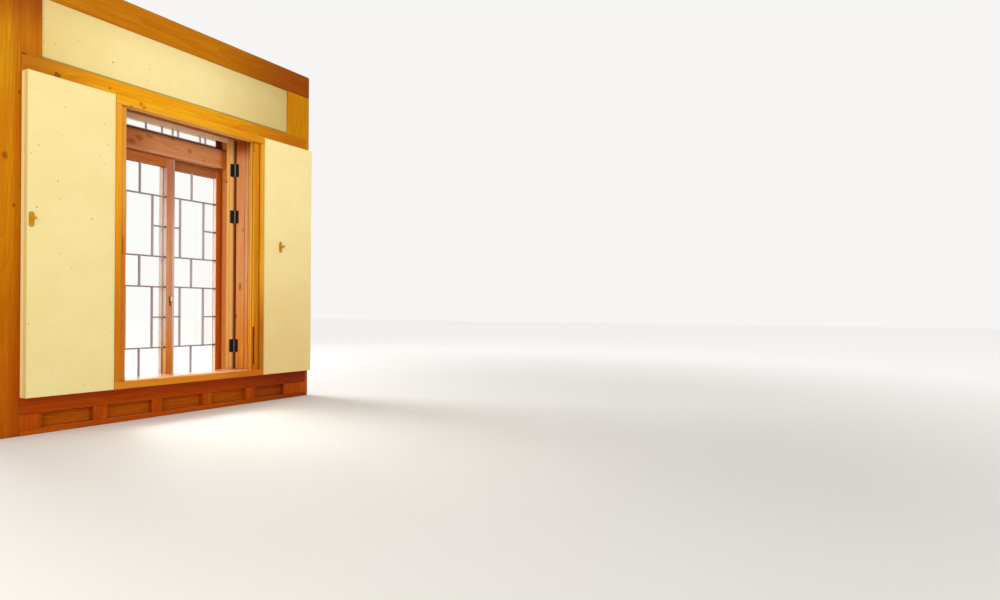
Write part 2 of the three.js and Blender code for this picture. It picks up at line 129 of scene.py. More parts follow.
def startGroup(name, inputs, outputs):
    # each group is told a place; a socket is a number, unless it is a place or a centre
    group = bpy.data.node_groups.new(name, "ShaderNodeTree")
    kinds = {"Place": "NodeSocketVector", "Centre": "NodeSocketVector"}
    for label, value in {"Place": (0, 0, 0), **inputs}.items():
        kind = kinds.get(label, "NodeSocketFloat")
        group.interface.new_socket(label, in_out="INPUT", socket_type=kind).default_value = value
    for label in outputs:
        group.interface.new_socket(label, in_out="OUTPUT", socket_type=kinds.get(label, "NodeSocketFloat"))
    given, made = group.nodes.new("NodeGroupInput"), group.nodes.new("NodeGroupOutput")
    return Wiring(group), given.outputs, made.inputs


# shared effects

def makeGrain():
    # year rings about a pith, streaks and fibre; Place runs along, across and into the board
    w, given, made = startGroup(
        "woodGrain",
        {label: 0.0 for label in ("Ring Width", "Pith Across", "Pith Depth", "Slope", "Wobble", "Seed")},
        ("Rings", "Streaks", "Fibre", "Height"),
    )
    seed, slope = given["Seed"], given["Slope"]
    shift = w.join(w.times(seed, 3.7), w.times(seed, 5.3), w.times(seed, 1.9))
    place = w.vector("ADD", given["Place"], shift)
    slow = w.vector("MULTIPLY", place, (1.4, 6, 6))
    swayAcross = w.minus(w.noise(slow), 0.5)
    swayDepth = w.minus(w.noise(w.vector("ADD", slow, (7.1, 3.3, 9.7))), 0.5)
    swing = w.times(given["Wobble"], 2.6)
    along, across, depth = w.split(given["Place"])
    leaning = w.timesPlus(along, slope, w.minus(across, given["Pith Across"]))
    sinking = w.minus(w.timesPlus(along, w.times(slope, 1.5), depth), given["Pith Depth"])
    ringPlace = w.join(w.timesPlus(swayAcross, swing, leaning), w.timesPlus(swayDepth, swing, sinking), 0.0)
    turns = w.math("DIVIDE", w.vector("LENGTH", ringPlace), given["Ring Width"])
    part = w.math("FRACT", turns)
    year = {"W": w.math("ADD", w.math("FLOOR", turns), seed)}
    luck = w.add("TexWhiteNoise", year, noise_dimensions="1D").outputs[0]
    late = w.times(w.math("POWER", part, 2.0), w.step(part, 1.0, 0.9))
    rings = w.times(late, w.blend(luck, 0.5, 1.3), clamp=True)
    streaks = w.noise(w.vector("MULTIPLY", place, (2.4, 62, 62)), detail=3, rough=0.6)
    fibre = w.noise(w.vector("MULTIPLY", place, (15, 750, 750)), detail=1)
    height = w.timesPlus(rings, 0.5, w.times(fibre, 0.6))
    return w.give(made, Rings=rings, Streaks=streaks, Fibre=fibre, Height=height)


def makeKnot():
    # one knot: the grain is led round it, and its core and rim come out as masks
    inputs = {"Centre": (0, 0, 0), "Radius": 0.012, "Stretch": 1.4}
    w, given, made = startGroup("woodKnot", inputs, ("Place", "Core", "Rim"))
    place, centre = given["Place"], given["Centre"]
    along, across, depth = w.split(w.vector("SUBTRACT", place, centre))
    flat = w.join(w.math("DIVIDE", along, given["Stretch"]), across, 0.0)
    distance = w.math("DIVIDE", w.vector("LENGTH", flat), given["Radius"])
    ragged = w.timesPlus(w.minus(w.noise(place, scale=75), 0.5), 1.1, distance)
    pull = w.math("POWER", 2.718, w.times(w.times(distance, distance), -0.2))
    squeezed = w.times(across, w.timesPlus(pull, -0.85, 1.0))
    broken = w.step(w.noise(place, scale=90), 0.35, 0.6)
    ring = w.times(w.step(ragged, 0.6, 0.95), w.step(ragged, 1.4, 1.0))
    led = w.vector("ADD", centre, w.join(along, squeezed, depth))
    rim = w.times(ring, w.blend(broken, 0.5, 1.0))
    return w.give(made, Place=led, Core=w.step(ragged, 1.35, 0.3), Rim=rim)


def makeEdgeWear():
    # where an edge has been rubbed or stands clear; where it lightens the paper and the hinge barrels it is
    # also a painted highlight
    w, given, made = startGroup("edgeWear", {"Reach": 0.004}, ("Mask",))
    rounded = w.add("Bevel", {"Radius": given["Reach"]}, samples=4).outputs[0]
    turned = w.vector("DOT_PRODUCT", rounded, w.add("NewGeometry").outputs["Normal"])
    edge = w.step(w.minus(1.0, turned), 0.015, 0.22)
    broken = w.step(w.noise(given["Place"], scale=24, detail=3), 0.3, 0.62)
    return w.give(made, Mask=w.times(edge, w.blend(broken, 0.35, 1.0)))


def makeGrime():
    # painted shade: seams, corners and recesses are darkened where ambient occlusion finds them
    w, given, made = startGroup("seamGrime", {"Reach": 0.012}, ("Mask",))
    clear = w.add("AmbientOcclusion", {"Distance": given["Reach"]}, samples=6).outputs["AO"]
    uneven = w.blend(w.noise(given["Place"], scale=30, detail=3), 0.7, 1.2)
    return w.give(made, Mask=w.times(w.step(clear, 0.72, 0.2), uneven, clamp=True))


def makeDust():
    # a thin veil on what faces upwards
    w, given, made = startGroup("dustVeil", {}, ("Mask",))
    upward = w.split(w.add("NewGeometry").outputs["Normal"])[2]
    patchy = w.step(w.noise(given["Place"], scale=16, detail=4), 0.25, 0.75)
    return w.give(made, Mask=w.times(w.step(upward, 0.6, 0.97), patchy))


def makeHanji():
    # mulberry paper: bark flecks, curled fibres, clouding and the overlaps of the sheets
    inputs = {"Fleck Size": 0.004, "Fleck Crowd": 15.5, "Sheet Height": 0.6}
    w, given, made = startGroup("hanjiSheet", inputs, ("Flecks", "Fibres", "Cloud", "Overlap", "Height"))
    place, crowd = given["Place"], given["Fleck Crowd"]
    bent = w.vector("MULTIPLY_ADD", w.scatter(place, 170.0), (0.007, 0.007, 0.007), place)
    cells = w.add("TexVoronoi", {"Vector": bent, "Scale": crowd}).outputs
    size = w.times(given["Fleck Size"], w.blend(w.split(cells["Color"])[0], 0.35, 1.25))
    flecks = w.step(w.math("DIVIDE", w.math("DIVIDE", cells["Distance"], crowd), size), 1.0, 0.45)
    curl = w.math("ABSOLUTE", w.minus(w.noise(place, scale=26), 0.5))
    sparse = w.step(w.noise(w.vector("ADD", place, (4.0, 9.0, 2.0)), scale=19), 0.52, 0.66)
    fibres = w.times(w.step(curl, 0.012, 0.002), sparse)
    cloud = w.noise(place, scale=4.5, detail=5, rough=0.6)
    wander = w.times(w.noise(place, scale=7), 0.006)
    sheet = w.math("FRACT", w.math("DIVIDE", w.math("ADD", w.split(place)[2], wander), given["Sheet Height"]))
    overlap = w.step(sheet, 0.022, 0.018)
    pulp = w.times(w.noise(place, scale=420), 0.35)
    relief = w.math("ADD", w.timesPlus(cloud, 0.5, pulp), w.times(fibres, 0.35))
    height = w.math("ADD", relief, w.times(overlap, 0.3))
    return w.give(made, Flecks=flecks, Fibres=fibres, Cloud=cloud, Overlap=overlap, Height=height)


def makePlaster():
    # hand-floated lime: trowel sweeps, sand and faint stains
    w, given, made = startGroup("limeFloat", {}, ("Tone", "Sweeps", "Height"))
    place = given["Place"]
    swirl = w.vector("MULTIPLY", w.scatter(place, 3.0), (0.5, 0.5, 0.5))
    sweeps = w.noise(w.vector("ADD", w.vector("MULTIPLY", place, (5, 5, 13)), swirl), scale=1.5, detail=4)
    height = w.timesPlus(sweeps, 0.7, w.times(w.noise(place, scale=520), 0.3))
    return w.give(made, Tone=w.noise(place, scale=2.2, detail=5, rough=0.6), Sweeps=sweeps, Height=height)


woodGrain = makeGrain()
woodKnot = makeKnot()
edgeWear = makeEdgeWear()
seamGrime = makeGrime()
dustVeil = makeDust()
hanjiSheet = makeHanji()
limeFloat = makePlaster()
print("shared effects made")


# finishes

# along, across and depth for each way of the grain; "side" is upright, on a face that looks along the wall
grainTurns = {"x": (0, 2, 1), "z": (2, 0, 1), "side": (2, 1, 0)}
finishes = {}


def tint(colour):
    # a colour as a paint chart gives it, turned into light amounts
    shares = [part / 255 for part in bytes.fromhex(colour)]
    return (*[s / 12.92 if s <= 0.04045 else ((s + 0.055) / 1.055) ** 2.4 for s in shares], 1)


def painted(settings):
    # a setting given as text is a colour
    return {key: tint(value) if isinstance(value, str) else value for key, value in settings.items()}


def startMaterial(name):
    material = bpy.data.materials.new(name)
    material.use_nodes = True
    finishes[name] = material
    w = Wiring(material.node_tree)
    return w, w.tree.nodes["Principled BSDF"].inputs, w.add("TexCoord").outputs["Object"]


def bumpFrom(w, height, strength, distance):
    return w.add("Bump", {"Height": height, "Strength": strength, "Distance": distance}).outputs[0]


def facingAlong(w):
    # the faces that look along the wall, which take painted light and shade of their own
    normal = w.add("TexCoord").outputs["Normal"]
    return w.step(w.math("ABSOLUTE", w.split(normal)[0]), 0.7, 0.95)


def woodFinish(name, base, grain="z", **changes):
    wood = painted({**base, **changes})
    w, shader, place = startMaterial(name)
    parts = w.split(place)
    board = w.join(*[parts[index] for index in grainTurns[grain]])
    ways = w.split(board)
    core, rim = 0.0, 0.0
    for along, across, radius, stretch in wood["knots"]:
        knot = w.group(woodKnot, Place=board, Centre=(along, across, 0), Radius=radius, Stretch=stretch)
        board = knot["Place"]
        core = w.math("MAXIMUM", core, knot["Core"])
        rim = w.math("MAXIMUM", rim, knot["Rim"])
    grown = w.group(
        woodGrain, Place=board, Ring_Width=wood["ringWidth"], Pith_Across=wood["pith"][0],
        Pith_Depth=wood["pith"][1], Slope=wood["slope"], Wobble=wood["wobble"], Seed=wood["seed"],
    )
    colour = w.cover(wood["light"], wood["dark"], grown["Rings"], wood["ringStrength"])
    streak = w.step(grown["Streaks"], 0.36, 0.7)
    colour = w.cover(colour, wood["dark"], streak, wood["streakStrength"])
    broad = w.noise(w.vector("MULTIPLY", board, (2.6, 17, 17)), detail=4, rough=0.6)
    colour = w.cover(colour, wood["warm"], w.step(broad, 0.36, 0.66), wood["cloudStrength"])
    colour = w.cover(colour, wood["line"], w.step(grown["Fibre"], 0.5, 0.68), wood["poreStrength"])
    if wood["knots"]:
        colour = w.cover(colour, wood["knotCore"], core, wood["coreStrength"])
        colour = w.cover(colour, wood["knotRim"], rim, wood["rimStrength"])
    # painted side lighting: side faces take a colour of their own, painted light where it is paler than the
    # front and painted shade where it is darker
    if "reveal" in wood:
        colour = w.cover(colour, wood["reveal"], facingAlong(w), wood["revealStrength"])
    # boxes of painted shadow and painted light
    for middle, half, soft, patch in wood["patches"]:
        away = w.split(w.vector("ABSOLUTE", w.vector("SUBTRACT", place, middle)))
        inside = [w.step(part, reach, reach - soft) for part, reach in zip(away, half)]
        inside = w.times(inside[0], w.times(inside[1], inside[2]))
        colour = w.cover(colour, tint(patch), inside, wood["patchStrength"])
    # ramps of tone along and across the board, several of them painted shade
    for way, start, end, tone in wood["stains"]:
        colour = w.stain(colour, tone, w.step(ways[way], start, end))
    worn = w.group(edgeWear, Place=place, Reach=wood["wearReach"])["Mask"]
    colour = w.cover(colour, wood["worn"], worn, wood["wear"])
    # painted shade in seams, corners and recesses; on the posts it reaches out beside the pocket covers
    grime = w.group(seamGrime, Place=place, Reach=wood["seamReach"])["Mask"]
    colour = w.cover(colour, wood["seamColour"], grime, wood["seam"])
    dust = w.group(dustVeil, Place=place)["Mask"]
    sheen = w.timesPlus(dust, wood["dustyRough"], w.blend(streak, *wood["roughness"]))
    w.feed(shader["Base Color"], w.cover(colour, wood["dustColour"], dust, wood["dust"]))
    w.feed(shader["Roughness"], w.timesPlus(worn, -wood["wornSmooth"], sheen))
    w.feed(shader["Normal"], bumpFrom(w, grown["Height"], wood["bump"], wood["bumpDepth"]))
    shader["Specular IOR Level"].default_value = wood["gloss"]
    shader["Coat Weight"].default_value = wood["varnish"]
    shader["Coat Roughness"].default_value = wood["varnishRough"]


# oiled pine of the posts; the other woods differ from it where they say so
# a knot is (along, across, radius, stretch), and a tone ramp (way, start, end, tone), way 0 along and 1
# across; some ramps are the wood's own tone and some are painted shade, as each finish says
# a painted-light box is (centre, half sizes, soft edge, colour), a box in which the wood takes another
# colour: painted shadow where it is dark, painted light where it is pale
postPine = dict(
    light="ce9002", dark="b06800", warm="c07000", line="965000", worn="964a00", knotCore="8c3402",
    knotRim="682400", seamColour="6e3e00", dustColour="d6c4a8", coreStrength=0.8, rimStrength=0.35,
    revealStrength=0.85, patchStrength=0.92, knots=(), stains=(), patches=(), seam=0.8, seamReach=0.03,
    ringWidth=0.01, ringStrength=0.6, streakStrength=0.55, cloudStrength=0.6, poreStrength=0.2,
    pith=(-1.058, 0.02), slope=0.012, wobble=0.016, seed=1.0, roughness=(0.46, 0.62), wornSmooth=0.06,
    dustyRough=0.2, gloss=0.06, varnish=0.0, varnishRough=0.12, bump=0.25, bumpDepth=0.0006, wear=0.3,
    wearReach=0.004, dust=0.25,
)
honeyPine = dict(
    postPine, light="f0b418", dark="d48406", warm="e49406", line="b86802", worn="c47e0a", knotCore="8c4804",
    knotRim="542200", coreStrength=0.75, rimStrength=0.8, seamReach=0.014, pith=(2.1, 0.0),
)
stainedPine = dict(
    postPine, light="b44a00", dark="8e3000", warm="aa3c00", line="682000", worn="782600",
    seamColour="3e0c00", seamReach=0.014, ringWidth=0.008, pith=(0.16, 0.03),
)
peachPine = dict(
    postPine, light="f0b67e", dark="d48a52", warm="e69c5a", line="b46a38", worn="f0c08c", knotCore="a04e28",
    knotRim="783010", seamColour="601a00", seamReach=0.012, ringWidth=0.006, wobble=0.007, pith=(0.2, 0.3),
    slope=0.006, wearReach=0.003,
)
redPine = dict(
    peachPine, light="ca702e", dark="a84e14", warm="bc5c1a", line="782a06", worn="cc7638",
)
bleachedPine = dict(
    peachPine, light="d89c76", dark="b6744e", warm="ca8458", line="965436", worn="e6b28e",
)
# muntin wood: its pale grey-mauve is painted light, the glare of bright daylight round the thin bars laid
# over their dark red-brown
greyPine = dict(
    redPine, light="a89aa0", dark="928288", warm="9e8e92", line="705e5e", worn="a89a9a",
    seamColour="3c1e18", seam=1.0,
)
thinHoney = dict(honeyPine, ringWidth=0.007)

woodFinish(
    "postLeft", postPine, pith=(-1.14, 0.06), slope=0.016,
    knots=(
        (1.57, -1.128, 0.013, 1.4), (1.3, -1.081, 0.009, 1.2), (1.94, -1.057, 0.007, 1.3),
        (1.412, -1.046, 0.006, 1.3),
    ),
    stains=(
        (0, 1.5, 0.1, (0.78, 0.46, 1)), (1, -1.12, -1.05, (0.84, 0.66, 1)),
        (0, 2.25, 2.5, (0.66, 0.46, 0.5)),
    ),
)
woodFinish(
    "postRight", postPine, pith=(1.058, 0.06), slope=0.016, seed=1.6,
    knots=((1.5, 1.1, 0.01, 1.5), (0.7, 1.02, 0.008, 1.3),), stains=((0, 1.5, 0.1, (0.78, 0.46, 1)),),
)
# painted shade: the plate darkens towards its right end
woodFinish(
    "plate", postPine, "x", pith=(2.62, 0.02), seed=1.3, light="be7804", dark="a45e00", warm="b46400",
    stains=((0, 0.1, 1.0, (0.62, 0.42, 0.4)),),
)
# painted shade: the rail darkens towards its right end, and its olive seam colour paints the shade line along
# its joints; it is also darker towards its left end
woodFinish(
    "headRail", honeyPine, "x", seed=2.0, seamColour="5c4e00",
    knots=((-0.856, 2.097, 0.012, 1.2), (-0.543, 2.112, 0.006, 1.2), (-1.036, 2.164, 0.005, 2.4),),
    stains=((0, -0.45, -1.05, (0.56, 0.42, 0.5)), (0, 0.0, 1.0, (0.66, 0.48, 0.3))),
)
woodFinish("batten", honeyPine, pith=(0.2, 0.1), seed=2.0, ringWidth=0.005, light="fcc442")
# painted shade: the dado rails and boards darken towards their right ends; the bottom rail is a lighter copy
# of the top rail, painted light from the floor
woodFinish("dadoRail", stainedPine, "x", seed=3.0, stains=((0, 0.25, 1.0, (0.64, 0.46, 0.5)),))
woodFinish(
    "dadoFoot", stainedPine, "x", seed=3.2, light="c45e00", warm="b84e00",
    stains=((0, 0.25, 1.0, (0.7, 0.58, 0.6)),),
)
woodFinish("dadoStile", stainedPine, pith=(0.3, 0.2), seed=3.4, light="c05a00")
woodFinish(
    "dadoBoard", stainedPine, "x", seed=3.8, light="c66604", warm="b25400",
    stains=((0, 0.35, 0.95, (0.66, 0.5, 1)),),
)
woodFinish(
    "casingLeft", thinHoney, pith=(0.1, 0.12), seed=2.4, light="e8a62c",
    stains=((0, 1.6, 0.5, (0.76, 0.56, 0.3)),),
)
woodFinish(
    "casingRight", thinHoney, pith=(0.2, 0.12), seed=2.5, light="e8ae38", warm="dc9822",
    stains=((0, 1.0, 0.55, (0.62, 0.48, 0.4)),),
)
woodFinish(
    "casingHead", thinHoney, "x", pith=(2.3, 0.1), seed=2.7,
    knots=((-0.384, 2.046, 0.011, 1.1), (-0.364, 2.03, 0.012, 0.7), (-0.447, 2.014, 0.006, 1.6),),
    knotCore="aa5c06", knotRim="964a02", rimStrength=0.4,
    stains=((1, 2.031, 2.024, (0.92, 0.98, 4.5)), (0, 0.0, 0.6, (0.88, 0.72, 0.5))),
)
woodFinish(
    "casingSill", thinHoney, "x", pith=(2.3, 0.1), seed=2.8, light="de9430", dark="c26c10", warm="d27c16",
    worn="e2a050", stains=((0, 0.0, 0.5, (0.9, 0.7, 0.5)),),
)
woodFinish(
    "peg", honeyPine, pith=(0.1, 0.1), seed=2.9, ringWidth=0.004, light="d69e26", dark="b0720a",
    warm="c88614", worn="886208",
)
# painted shade at the top of the linings; they also darken towards the bottom
woodFinish(
    "liningSide", peachPine, "side", pith=(0.3, 0.3), seed=4.0,
    knots=((0.901, -0.015, 0.013, 2.2), (0.674, 0.028, 0.009, 1.8), (1.344, -0.044, 0.008, 1.6),),
    stains=((0, 1.1, 0.4, (0.94, 0.76, 0.28)), (0, 1.85, 2.02, (0.5, 0.22, 0.1))),
)
# painted shade: the lining head is a darker copy of the lining wood
woodFinish(
    "liningHead", peachPine, "x", pith=(2.4, 0.2), seed=4.3, light="b4743a", dark="965622", warm="a8622a",
)
# painted light: the tracks are a paler copy of the lining wood, for the daylight on them
woodFinish("track", peachPine, "x", pith=(2.4, 0.2), seed=4.2, light="fed496", dark="e2a062", warm="f8c27e")
# painted light: the inner sill is paler, for the daylight on its top and its reflection
woodFinish(
    "sillBoard", peachPine, "x", pith=(2.4, 0.2), seed=4.4, varnish=1.0, roughness=(0.22, 0.34), gloss=0.6,
    light="f0ceac", dark="e0b28c", warm="e8c09c",
)
woodFinish(
    "leafLeft", honeyPine, pith=(0.2, 0.3), seed=4.6, ringWidth=0.006, light="eca848", dark="cc7c24",
    warm="de9236", seamColour="6e2200", stains=((0, 1.5, 0.9, (0.8, 0.6, 0.5)),),
)
# painted shade: the right leaf is a darker copy of the left, shaded by its casing; its side faces are paler,
# painted light, and its two boxes paint the shadow in the slot beside the casing; it also darkens towards the
# bottom
woodFinish(
    "leafRight", honeyPine, pith=(0.2, 0.3), seed=4.7, ringWidth=0.006, light="dc961c", dark="c07006",
    warm="ce800a", seamColour="782200", reveal="fabc38", seam=1.0,
    patches=(
        ((0.5615, -0.1655, 0.45), (0.0066, 0.0095, 0.15), 0.001, "640a00"),
        ((0.5575, -0.1745, 0.45), (0.005, 0.0035, 0.15), 0.001, "6e0e00"),
    ), stains=((0, 1.2, 0.3, (0.9, 0.7, 0.5)),),
)
# painted shade: the jamb's side faces are darker, and its boxes paint the shade in the gaps behind the
# linings
woodFinish(
    "jamb", peachPine, pith=(0.62, 0.2), seed=4.8, light="fac878", dark="e6a85c", warm="f2b664",
    reveal="c67432", knots=((1.719, 0.484, 0.009, 1.5), (0.852, 0.477, 0.008, 1.5)),
    patches=tuple(((x, 0.04, 1.1), (0.044, 0.05, 1.2), 0.024, "762c04") for x in (0.578, -0.488)),
)
# painted light: the frame head and sill are a near-white copy of the frame wood, for the daylight on them
woodFinish(
    "frameRail", peachPine, "x", pith=(2.2, 0.3), seed=5.1, light="ffe4c4", dark="eec49a", warm="fad6ae",
)
# painted shade: the bar darkens towards its left and right ends and in a dark line along its top edge; it is
# also paler along its lower edge and darker just below that top line
woodFinish(
    "bar", bleachedPine, "x", pith=(1.9, 0.3), seed=5.3, light="d0905a",
    knots=(
        (-0.283, 1.862, 0.018, 1.6), (-0.226, 1.893, 0.017, 1.5), (-0.15, 1.922, 0.01, 2.2),
        (0.027, 1.944, 0.007, 2.0), (0.166, 1.888, 0.015, 1.1), (0.289, 1.842, 0.01, 0.7),
    ), knotCore="9e4e14", coreStrength=0.66, rimStrength=0.35,
    stains=(
        (1, 1.831, 1.824, (1.1, 1.22, 1.6)), (0, -0.05, -0.3, (0.84, 0.72, 0.6)),
        (1, 1.948, 1.958, (0.14, 0.05, 0.06)), (0, 0.41, 0.46, (0.7, 0.4, 0.1)),
        (1, 1.93, 1.95, (0.7, 0.62, 0.6)),
    ),
)
# painted light: the right sash's side faces are near white for the daylight on them, and a pale box lightens
# the front of its stile behind the meeting stile
woodFinish(
    "sashStile", redPine, seed=5.5, seam=0.35, light="c86216", warm="ba520a", reveal="ffecdc",
    patches=(((0.007, 0.1425, 1.1), (0.008, 0.003, 0.645), 0.001, "ecd4ce"),),
)
# painted light: the left sash's stiles and the meeting strip are a pale pink for the daylight washing over
# them, with near-white side faces, and turn oranger towards the foot for the room light; they darken towards
# the top
woodFinish(
    "meetingStile", bleachedPine, seed=5.6, seam=0.2, reveal="ffeade",
    stains=((0, 0.75, 0.35, (1, 0.72, 0.28)), (0, 1.3, 1.75, (0.76, 0.62, 0.66))),
)
woodFinish(
    "meetingStrip", bleachedPine, seed=5.65, reveal="ffeade", light="d8c4c0", dark="c3a79e", warm="ceb2aa",
    stains=((0, 0.75, 0.35, (1.08, 0.84, 0.5)), (0, 1.15, 1.65, (0.58, 0.54, 0.54))),
)
woodFinish(
    "sashRail", redPine, "x", pith=(1.5, 0.3), seed=5.7, light="c1743e", dark="a05320", warm="b36228",
    stains=((0, 0.0, 0.12, (0.78, 0.88, 1.05)),),
)
woodFinish("muntinUpright", greyPine, seed=5.8, light="beaeb6", dark="a6949c", warm="b2a0a6")
woodFinish(
    "rowLeft", greyPine, "x", pith=(1.5, 0.3), seed=5.9, stains=((0, -0.013, -0.005, (0.15, 0.07, 0.05)),),
)
woodFinish(
    "rowRight", greyPine, "x", pith=(1.5, 0.3), seed=6.0, stains=((0, 0.436, 0.445, (0.16, 0.08, 0.04)),),
)
# painted light and shade: the pale bars stand in for the glare of daylight round them; the dark line along
# their lower edge and their dark right end are painted shadow
woodFinish(
    "transomBars", greyPine, "x", pith=(2.2, 0.3), seed=6.1, light="dececc", dark="cebcba", warm="d6c4c0",
    line="b09a96", worn="e2d2ce",
    stains=((1, 1.978, 1.972, (0.12, 0.02, 0.01)), (0, 0.425, 0.435, (0.2, 0.03, 0.02))),
)


def paperFinish(name, base, barkSpots=(), shades=(), **changes):
    # a bark spot, a larger fleck, is (x, z, size); a painted shade is (way, start, end, tone), way 0 for x, 2
    # for z
    paper = painted({**base, **changes})
    w, shader, place = startMaterial(name)
    bent = w.vector("MULTIPLY_ADD", w.scatter(place, 150.0), (0.006, 0.006, 0.006), place)
    bent = w.vector("MULTIPLY", bent, (1, 0, 1))
    pulp = w.group(
        hanjiSheet, Place=place, Fleck_Size=paper["fleckSize"], Fleck_Crowd=paper["fleckCrowd"],
        Sheet_Height=paper["sheetHeight"],
    )
    parts = w.split(place)
    colour = w.mix(w.step(pulp["Cloud"], 0.3, 0.72), paper["light"], paper["clouded"])
    colour = w.cover(colour, paper["clouded"], pulp["Overlap"], paper["overlapStrength"])
    colour = w.cover(colour, paper["fibre"], pulp["Fibres"], paper["fibreStrength"])
    flecks = pulp["Flecks"]
    for x, z, size in barkSpots:
        reach = w.vector("DISTANCE", bent, (x + 0.003, 0, z + 0.003))
        flecks = w.math("MAXIMUM", flecks, w.step(reach, size, size * 0.45))
    colour = w.cover(colour, paper["fleck"], flecks, paper["fleckStrength"])
    # painted light and shade on the paper's side faces: darker towards the front, lighter towards the back
    turned = w.mix(w.step(parts[1], *paper["turnedDepth"]), paper["turned"], paper["turnedBack"])
    colour = w.mix(facingAlong(w), colour, turned)
    for way, start, end, tone in shades:
        colour = w.stain(colour, tone, w.step(parts[way], start, end))
    # the paper is lighter along its edges: wear and a painted highlight
    worn = w.group(edgeWear, Place=place, Reach=0.004)["Mask"]
    w.feed(shader["Base Color"], w.cover(colour, paper["edge"], worn, paper["edgeStrength"]))
    w.feed(shader["Roughness"], w.blend(pulp["Cloud"], 0.8, 0.95))
    w.feed(shader["Normal"], bumpFrom(w, pulp["Height"], 0.3, 0.0006))
    shader["Specular IOR Level"].default_value = 0.2
    shader["Sheen Weight"].default_value = 0.06


hanjiPaper = dict(
    light="eddc9e", clouded="ead795", fibre="e2c686", fleck="8c744e", edge="ffe2a0", turned="deca80",
    turnedBack="ffe29e", turnedDepth=(-0.154, -0.146), fleckSize=0.0042, fleckCrowd=15.5, sheetHeight=0.62,
    overlapStrength=0.35, fibreStrength=0.4, fleckStrength=0.8, edgeStrength=0.6,
)
# painted shade: the paper darkens towards both ends and towards the top, with a dark line just above the head
# rail
paperFinish("wallPaper", hanjiPaper, (
    (-0.516, 2.286, 0.007), (-0.511, 2.484, 0.004), (-0.283, 2.24, 0.005), (-0.727, 2.349, 0.004),
    (-0.751, 2.509, 0.004),
), (
    (0, -0.35, -1.0, (0.86, 0.8, 0.68)), (0, 0.0, 1.0, (0.69, 0.63, 0.49)),
    (2, 2.38, 2.56, (0.9, 0.88, 0.84)), (2, 2.189, 2.181, (0.5, 0.46, 0.2)),
))
paperFinish("coverPaper", hanjiPaper, (
    (-0.847, 1.902, 0.004), (-0.612, 1.861, 0.004), (-0.987, 1.649, 0.005), (-1.028, 1.595, 0.004),
    (-0.641, 1.664, 0.004), (-0.883, 1.463, 0.005), (-0.872, 1.36, 0.004), (-0.995, 1.296, 0.006),
    (-0.687, 1.267, 0.005),
))
# painted light and shade: the right cover's paper is a lighter copy, darkening towards the bottom
paperFinish(
    "coverPaperRight", hanjiPaper, light="f7e5a6", clouded="f4e09e",
    shades=((2, 1.5, 0.4, (0.9, 0.82, 0.72)),),
)


def plasterFinish(name, plan):
    lime = painted(plan)
    w, shader, place = startMaterial(name)
    coat = w.group(limeFloat, Place=place)
    colour = w.mix(w.step(coat["Tone"], 0.35, 0.7), lime["light"], lime["damp"])
    colour = w.cover(colour, lime["sweep"], w.step(coat["Sweeps"], 0.5, 0.7), 0.25)
    w.feed(shader["Base Color"], colour)
    w.feed(shader["Roughness"], w.blend(coat["Tone"], 0.82, 0.96))
    w.feed(shader["Normal"], bumpFrom(w, coat["Height"], 0.45, 0.0015))
    shader["Specular IOR Level"].default_value = 0.2


limePlaster = {"light": "cec5ac", "damp": "bcb092", "sweep": "d8d0ba"}
plasterFinish("plaster", limePlaster)


def metalFinish(name, plan):
    metal = painted(plan)
    w, shader, place = startMaterial(name)
    mottle = w.noise(place, scale=60, detail=4)
    colour = w.mix(w.step(mottle, 0.35, 0.7), metal["deep"], metal["dull"])
    worn = w.group(edgeWear, Place=place, Reach=0.0012)["Mask"]
    rubbed = w.times(worn, metal["rubbed"])
    w.feed(shader["Base Color"], w.mix(rubbed, colour, metal["bare"]))
    w.feed(shader["Metallic"], w.timesPlus(rubbed, 0.6, metal["metallic"]))
    w.feed(shader["Roughness"], w.blend(mottle, 0.28, 0.5))
    w.feed(shader["Normal"], bumpFrom(w, w.noise(place, scale=900), 0.12, 0.0002))


metals = dict(
    enamel=dict(deep="140e0c", dull="221814", bare="78706a", rubbed=0.5, metallic=0.1),
    # the barrel's lighter grey is bare steel and a painted highlight
    barrel=dict(deep="646062", dull="807c7c", bare="a09c98", rubbed=0.7, metallic=0.6),
    latch=dict(deep="8a682e", dull="705226", bare="cea068", rubbed=0.5, metallic=0.4),
    # painted highlight: the lever is a pale cream where the latch catches the light
    lever=dict(deep="fce8c0", dull="f0d4a6", bare="fff4dc", rubbed=0.7, metallic=0.1),
)
for name, plan in metals.items():
    metalFinish(name, plan)


def glassFinish(name):
    w, shader, place = startMaterial(name)
    shader["Base Color"].default_value = (0.97, 0.99, 0.98, 1)
    shader["Transmission Weight"].default_value = 1
    shader["IOR"].default_value = 1.45
    w.feed(shader["Roughness"], w.times(w.step(w.noise(place, scale=9, detail=4), 0.5, 0.9), 0.03))
    through = w.add("BsdfTransparent", {"Color": (0.95, 0.97, 0.96, 1)}).outputs[0]
    shadow = w.add("LightPath").outputs["Is Shadow Ray"]
    pane = w.tree.nodes["Principled BSDF"].outputs[0]
    chosen = w.add("MixShader", {0: shadow, 1: pane, 2: through}).outputs[0]
    w.feed(w.tree.nodes["Material Output"].inputs["Surface"], chosen)


glassFinish("glass")
print("finishes made:", len(finishes))


# mesh helpers

meshSettings = {"smoothUnder": 34, "easeOver": 40, "arrisOver": 50, "weld": 0.00002}


def joinRows(shape, rows, closed=True):
    # faces between rows of corners; a row of one corner is a tip, and a closed form gets its two ends
    count = max(len(row) for row in rows)
    made = []
    for lower, upper in zip(rows, rows[1:]):
        for index in range(count if closed else count - 1):
            spots = ((lower, index), (lower, index + 1), (upper, index + 1), (upper, index))
            loop = [row[spot % len(row)] for row, spot in spots]
            made.append(shape.faces.new(list(dict.fromkeys(loop))))
    if closed:
        made += [shape.faces.new(row) for row in (rows[0], rows[-1]) if len(row) > 1]
    return made


